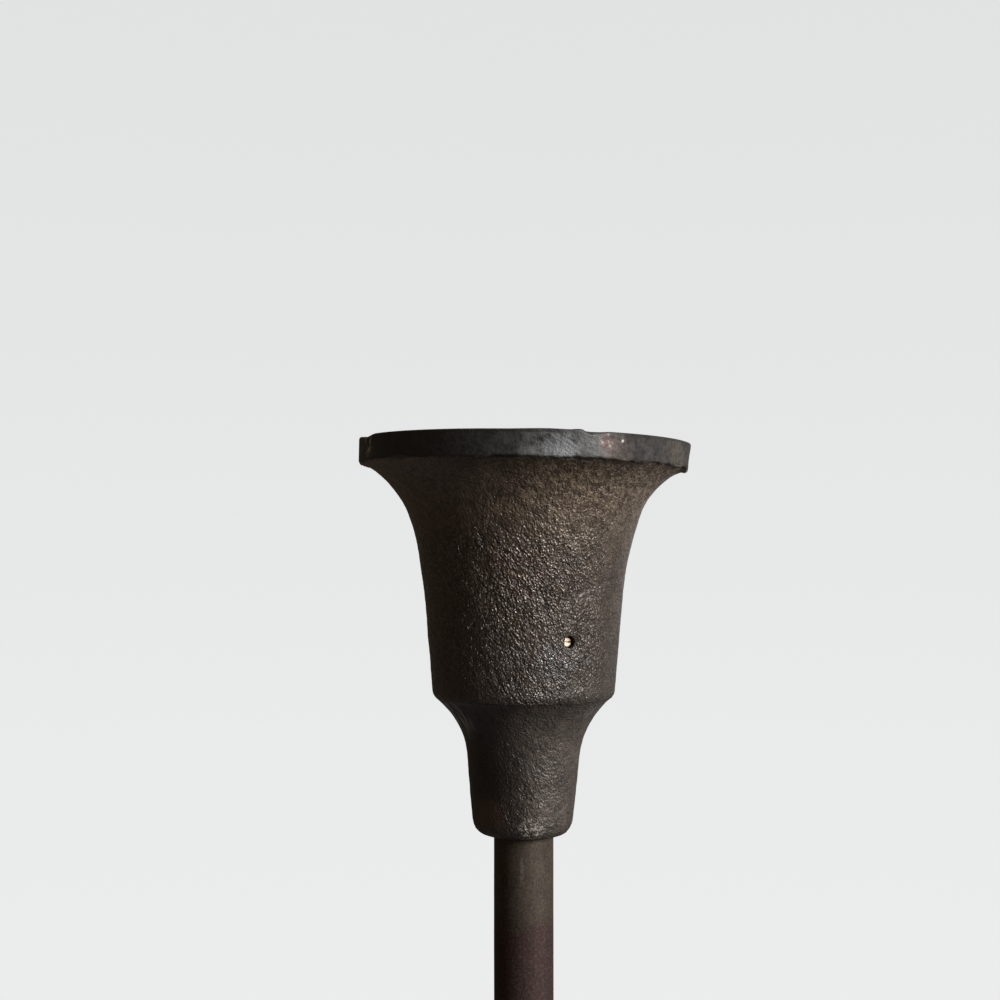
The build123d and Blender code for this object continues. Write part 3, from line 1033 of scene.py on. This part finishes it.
class CANDLE_STAND_OT_foot(bpy.types.Operator):
    """Models the flared cast foot with its neck, its nut pocket and the pads' seats"""

    bl_idname = "candle_stand.foot"
    bl_label = "Foot"

    def execute(self, context):
        shape, look, _ = settings(context)
        low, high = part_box("foot")
        bottom, top = low.z, high.z
        radius = round(high.x / MM) * MM
        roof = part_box("washer")[1].z
        seat = top - shape.seat_depth
        hole = shape.thread_radius + 0.3 * MM
        bore = shape.thread_radius * BORE_SHARE
        pocket = shape.pocket_radius
        edge, pocket_edge = 0.8 * MM, 0.5 * MM
        neck = [Vector((point.x, top - point.y)) for point in neck_side(shape, bore)]
        shoulder = neck[-1]
        waist = Vector((shape.foot_waist, shoulder.y - 4.5 * MM))
        lip = Vector((radius, bottom + 6 * MM))
        under = Vector((radius, bottom))
        sweep = part_way(waist, lip, 0.22, 0.62)
        sweep_in, heading = arc(waist, waist - shoulder, sweep)
        sweep_out, _ = arc(sweep, heading, lip)
        shoulder_round = eased(neck[-3], shoulder, waist, shape.shoulder_round)
        lip_round = eased(sweep_out[-2], lip, under, edge)
        outline = joined(
            [(hole, roof), (hole, seat), (bore, seat)],
            stepped([(bore, seat), (bore, top)], 4 * MM),
            stepped(joined(neck[:-1], shoulder_round, sweep_in, sweep_out[:-1], lip_round[:1]), 0.55 * MM),
            lip_round,
            stepped([(radius, lip.y - edge), (radius, bottom + edge)], 0.8 * MM),
            eased(lip, under, (0, bottom), edge),
            stepped([(radius - edge, bottom), (pocket + pocket_edge, bottom)], 3 * MM),
            eased((radius, bottom), (pocket, bottom), (pocket, roof), pocket_edge, 3),
            stepped([(pocket, bottom + pocket_edge), (pocket, roof)], 3 * MM),
            stepped([(pocket, roof), (hole, roof)], 3 * MM),
        )
        foot = spun("foot_casting", outline, shape.round_steps)
        inside = lambda co: 12 * MM if co.z < roof else 8 * MM
        on_skin = lambda co: bottom + 0.3 * MM < co.z < top - 0.6 * MM and co.xy.length > inside(co)
        group_where(foot, "skin", on_skin)
        displace(foot, "skin", 9 * MM, 0.28 * MM, 2)
        displace(foot, "skin", 1.6 * MM, 0.1 * MM, 1)
        for place in pad_places(shape):
            place.z = bottom
            cut(foot, cylinder("pad_seat", 64, shape.pad_radius + 0.1 * MM, 2 * MM, place))
        finish_piece(foot, foot_iron(look), "stand", "foot", 55)
        return {"FINISHED"}


def pad_places(shape):
    """The middles of the three pads on the table."""
    return [round_place(math.radians(degrees), shape.pad_circle, 0) for degrees in (180, 300, 420)]


class CANDLE_STAND_OT_pads(bpy.types.Operator):
    """Models one rubber pad with a hollow under it, and copies it to the three seats"""

    bl_idname = "candle_stand.pads"
    bl_label = "Foot pads"

    def execute(self, context):
        shape, look, _ = settings(context)
        radius, top = shape.pad_radius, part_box("foot_pads")[1].z
        hollow, tread, chamfer = 0.5 * MM, radius - 1.8 * MM, 0.2 * MM
        outline = joined(
            [(0, hollow), (radius - 2.6 * MM, hollow)],
            eased((0, hollow), (radius - 2.2 * MM, hollow), (tread, 0), 0.3 * MM, 3),
            [(tread, 0)],
            eased((0, 0), (radius, 0), (radius, top), 0.5 * MM, 5),
            [(radius, top - chamfer), (radius - chamfer, top), (0, top)],
        )
        places = pad_places(shape)
        pads = [spun("foot_pads_rubber", outline, 64)]
        while len(pads) < len(places):
            pick(pads[0])
            bpy.ops.object.duplicate(linked=False)
            pads.append(bpy.context.object)
        for pad, place in zip(pads, places):
            pad.location = place
            settle(pad)
        pick(pads[0])
        for pad in pads:
            pad.select_set(True)
        bpy.ops.object.join()
        finish_piece(pads[0], pad_rubber(look), "stand", "foot_pads", 40)
        return {"FINISHED"}


class CANDLE_STAND_OT_washer(bpy.types.Operator):
    """Models the washer with stamped, rounded edges"""

    bl_idname = "candle_stand.washer"
    bl_label = "Washer"

    def execute(self, context):
        shape, look, _ = settings(context)
        low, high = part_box("washer")
        radius = shape.washer_radius
        hole = shape.thread_radius + 0.3 * MM
        corners = [(hole, low.z), (radius, low.z), (radius, high.z), (hole, high.z)]
        sizes = [0.15 * MM, 0.4 * MM, 0.15 * MM, 0.15 * MM]
        around = zip(corners[-1:] + corners, corners, corners[1:] + corners[:1], sizes)
        outline = joined(*(eased(before, corner, after, size, 4) for before, corner, after, size in around))
        washer = spun("washer_plated", outline + [outline[0]], 96)
        finish = turned_metal("washer_plating", look.plating, 0.34, 0.3)
        finish_piece(washer, finish, "stand", "washer", 40)
        return {"FINISHED"}


class CANDLE_STAND_OT_nut(bpy.types.Operator):
    """Models the hexagon nut with turned corners and a chamfered hole"""

    bl_idname = "candle_stand.nut"
    bl_label = "Nut"

    def execute(self, context):
        shape, look, _ = settings(context)
        low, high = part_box("nut")
        bottom, top = low.z, high.z
        corner, flat = high.x, high.y
        middle = (0, 0, (bottom + top) / 2)
        nut = cylinder("nut_plated", 6, corner, top - bottom, middle, (0, 0, math.radians(30)))
        face = flat - 0.2 * MM
        drop = (corner - flat) * math.tan(math.radians(30)) + 0.15 * MM
        turning = [(0, bottom), (face, bottom), (corner, bottom + drop)]
        turning += [(corner, top - drop), (face, top), (0, top)]
        cut(nut, spun("nut_turning", turning, 96), "INTERSECT")
        bore = shape.thread_radius + 0.05 * MM
        mouth, past, chamfer, end = bore + 0.8 * MM, 0.6 * MM, 0.4 * MM, 1 * MM
        hole = [(0, bottom - end), (mouth, bottom - past), (bore, bottom + chamfer)]
        hole += [(bore, top - chamfer), (mouth, top + past), (0, top + end)]
        cut(nut, spun("nut_bore", hole, 64))
        finish = turned_metal("nut_plating", look.plating, 0.34, 0.3)
        finish_piece(nut, finish, "stand", "nut", 30)
        return {"FINISHED"}


class CANDLE_STAND_OT_stage(bpy.types.Operator):
    """Sets up the floor, the light, the background and the camera"""

    bl_idname = "candle_stand.stage"
    bl_label = "Stage"

    def execute(self, context):
        _, look, stage = settings(context)
        self.floor(look)
        self.world(look, stage)
        right = stage.view_bearing + stage.key_bearing
        behind = stage.view_bearing + math.pi
        self.lamp("key", round_place(right, 0.9, 0.58), (0.42, 0.34), stage.key_power)
        self.lamp("top", round_place(behind, 0.12, 1.15), (0.5, 0.5), stage.key_power * 0.3)
        self.lamp("back", round_place(behind - 0.4, 0.9, 0.5), (0.5, 0.6), stage.key_power * 0.06)
        self.camera(stage)
        bpy.context.scene.view_settings.view_transform = "Standard"
        return {"FINISHED"}

    def floor(self, look):
        """The round floor under the stand."""
        deselect()
        radius = 0.75
        bpy.ops.mesh.primitive_circle_add(vertices=96, radius=radius, fill_type="NGON")
        floor = named("floor")
        floor.data.materials.append(floor_finish(look, radius))

    def lamp(self, name, place, size, power):
        """One soft lamp that points at the upper part of the stand and isn't seen itself."""
        deselect()
        bpy.ops.object.light_add(type="AREA", location=place)
        lamp = bpy.context.object
        lamp.name = name
        lamp.data.shape = "RECTANGLE"
        lamp.data.size, lamp.data.size_y = size
        lamp.data.energy = power
        aim = Vector((0, 0, 0.24)) - place
        lamp.rotation_euler = aim.to_track_quat("-Z", "Y").to_euler()
        lamp.visible_camera = False

    def world(self, look, stage):
        """A pale background for what is seen and mirrored, with a low light from all round."""
        world = bpy.data.worlds.new("studio")
        world.use_nodes = True
        bpy.context.scene.world = world
        sheet = Sheet(world.node_tree)
        way = sheet.node("ShaderNodeTexCoord", out="Generated")
        rise = sheet.axis(way, "Z").from_to(-0.35, 0.4)
        right = round_place(stage.view_bearing + stage.key_bearing + 0.5, 1.0, 0.0)
        seen = seen_rays(sheet, sheet.along(way, right).from_to(-0.1, 0.9) * 0.25 + 0.015)
        tint = sheet.mix(seen, stage.ambient, sheet.mix(rise, look.wall * 1.04, look.wall * 0.94))
        background = sheet.node("ShaderNodeBackground", None, {"Color": tint, "Strength": 1.0})
        sheet.node("ShaderNodeOutputWorld", None, {"Surface": background})

    def camera(self, stage):
        """The camera at the photograph's height, distance and angle."""
        deselect()
        place = round_place(stage.view_bearing, stage.view_distance, stage.view_height)
        turn = (math.pi / 2 + stage.view_pitch, 0, stage.view_bearing + stage.view_turn)
        bpy.ops.object.camera_add(location=place, rotation=turn)
        camera = bpy.context.object
        camera.data.lens = stage.lens
        camera.data.sensor_width = 36
        camera.data.clip_start = 0.01
        bpy.context.scene.camera = camera


PIECE_OPERATORS = (
    CANDLE_STAND_OT_cup,
    CANDLE_STAND_OT_lock_screw,
    CANDLE_STAND_OT_plug,
    CANDLE_STAND_OT_spike,
    CANDLE_STAND_OT_stem,
    CANDLE_STAND_OT_foot,
    CANDLE_STAND_OT_pads,
    CANDLE_STAND_OT_washer,
    CANDLE_STAND_OT_nut,
    CANDLE_STAND_OT_stage,
)


class CANDLE_STAND_PT_panel(bpy.types.Panel):
    """Lists the pieces of the candle stand"""

    bl_label = "Candle stand"
    bl_idname = "CANDLE_STAND_PT_panel"
    bl_space_type = "VIEW_3D"
    bl_region_type = "UI"
    bl_category = "Candle stand"

    def draw(self, context):
        for operator in PIECE_OPERATORS:
            self.layout.operator(operator.bl_idname)


SETTINGS = {
    "candle_stand_shape": CandleStandShape,
    "candle_stand_look": CandleStandLook,
    "candle_stand_stage": CandleStandStage,
}
CLASSES = (*SETTINGS.values(), *PIECE_OPERATORS, CANDLE_STAND_PT_panel)


def register():
    for cls in CLASSES:
        bpy.utils.register_class(cls)
    for name, group in SETTINGS.items():
        setattr(bpy.types.Scene, name, PointerProperty(type=group))


def unregister():
    for name in SETTINGS:
        delattr(bpy.types.Scene, name)
    for cls in reversed(CLASSES):
        bpy.utils.unregister_class(cls)


def main():
    """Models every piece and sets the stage."""
    register()
    for operator in PIECE_OPERATORS:
        group, name = operator.bl_idname.split(".")
        getattr(getattr(bpy.ops, group), name)()


if __name__ == "__main__":
    main()
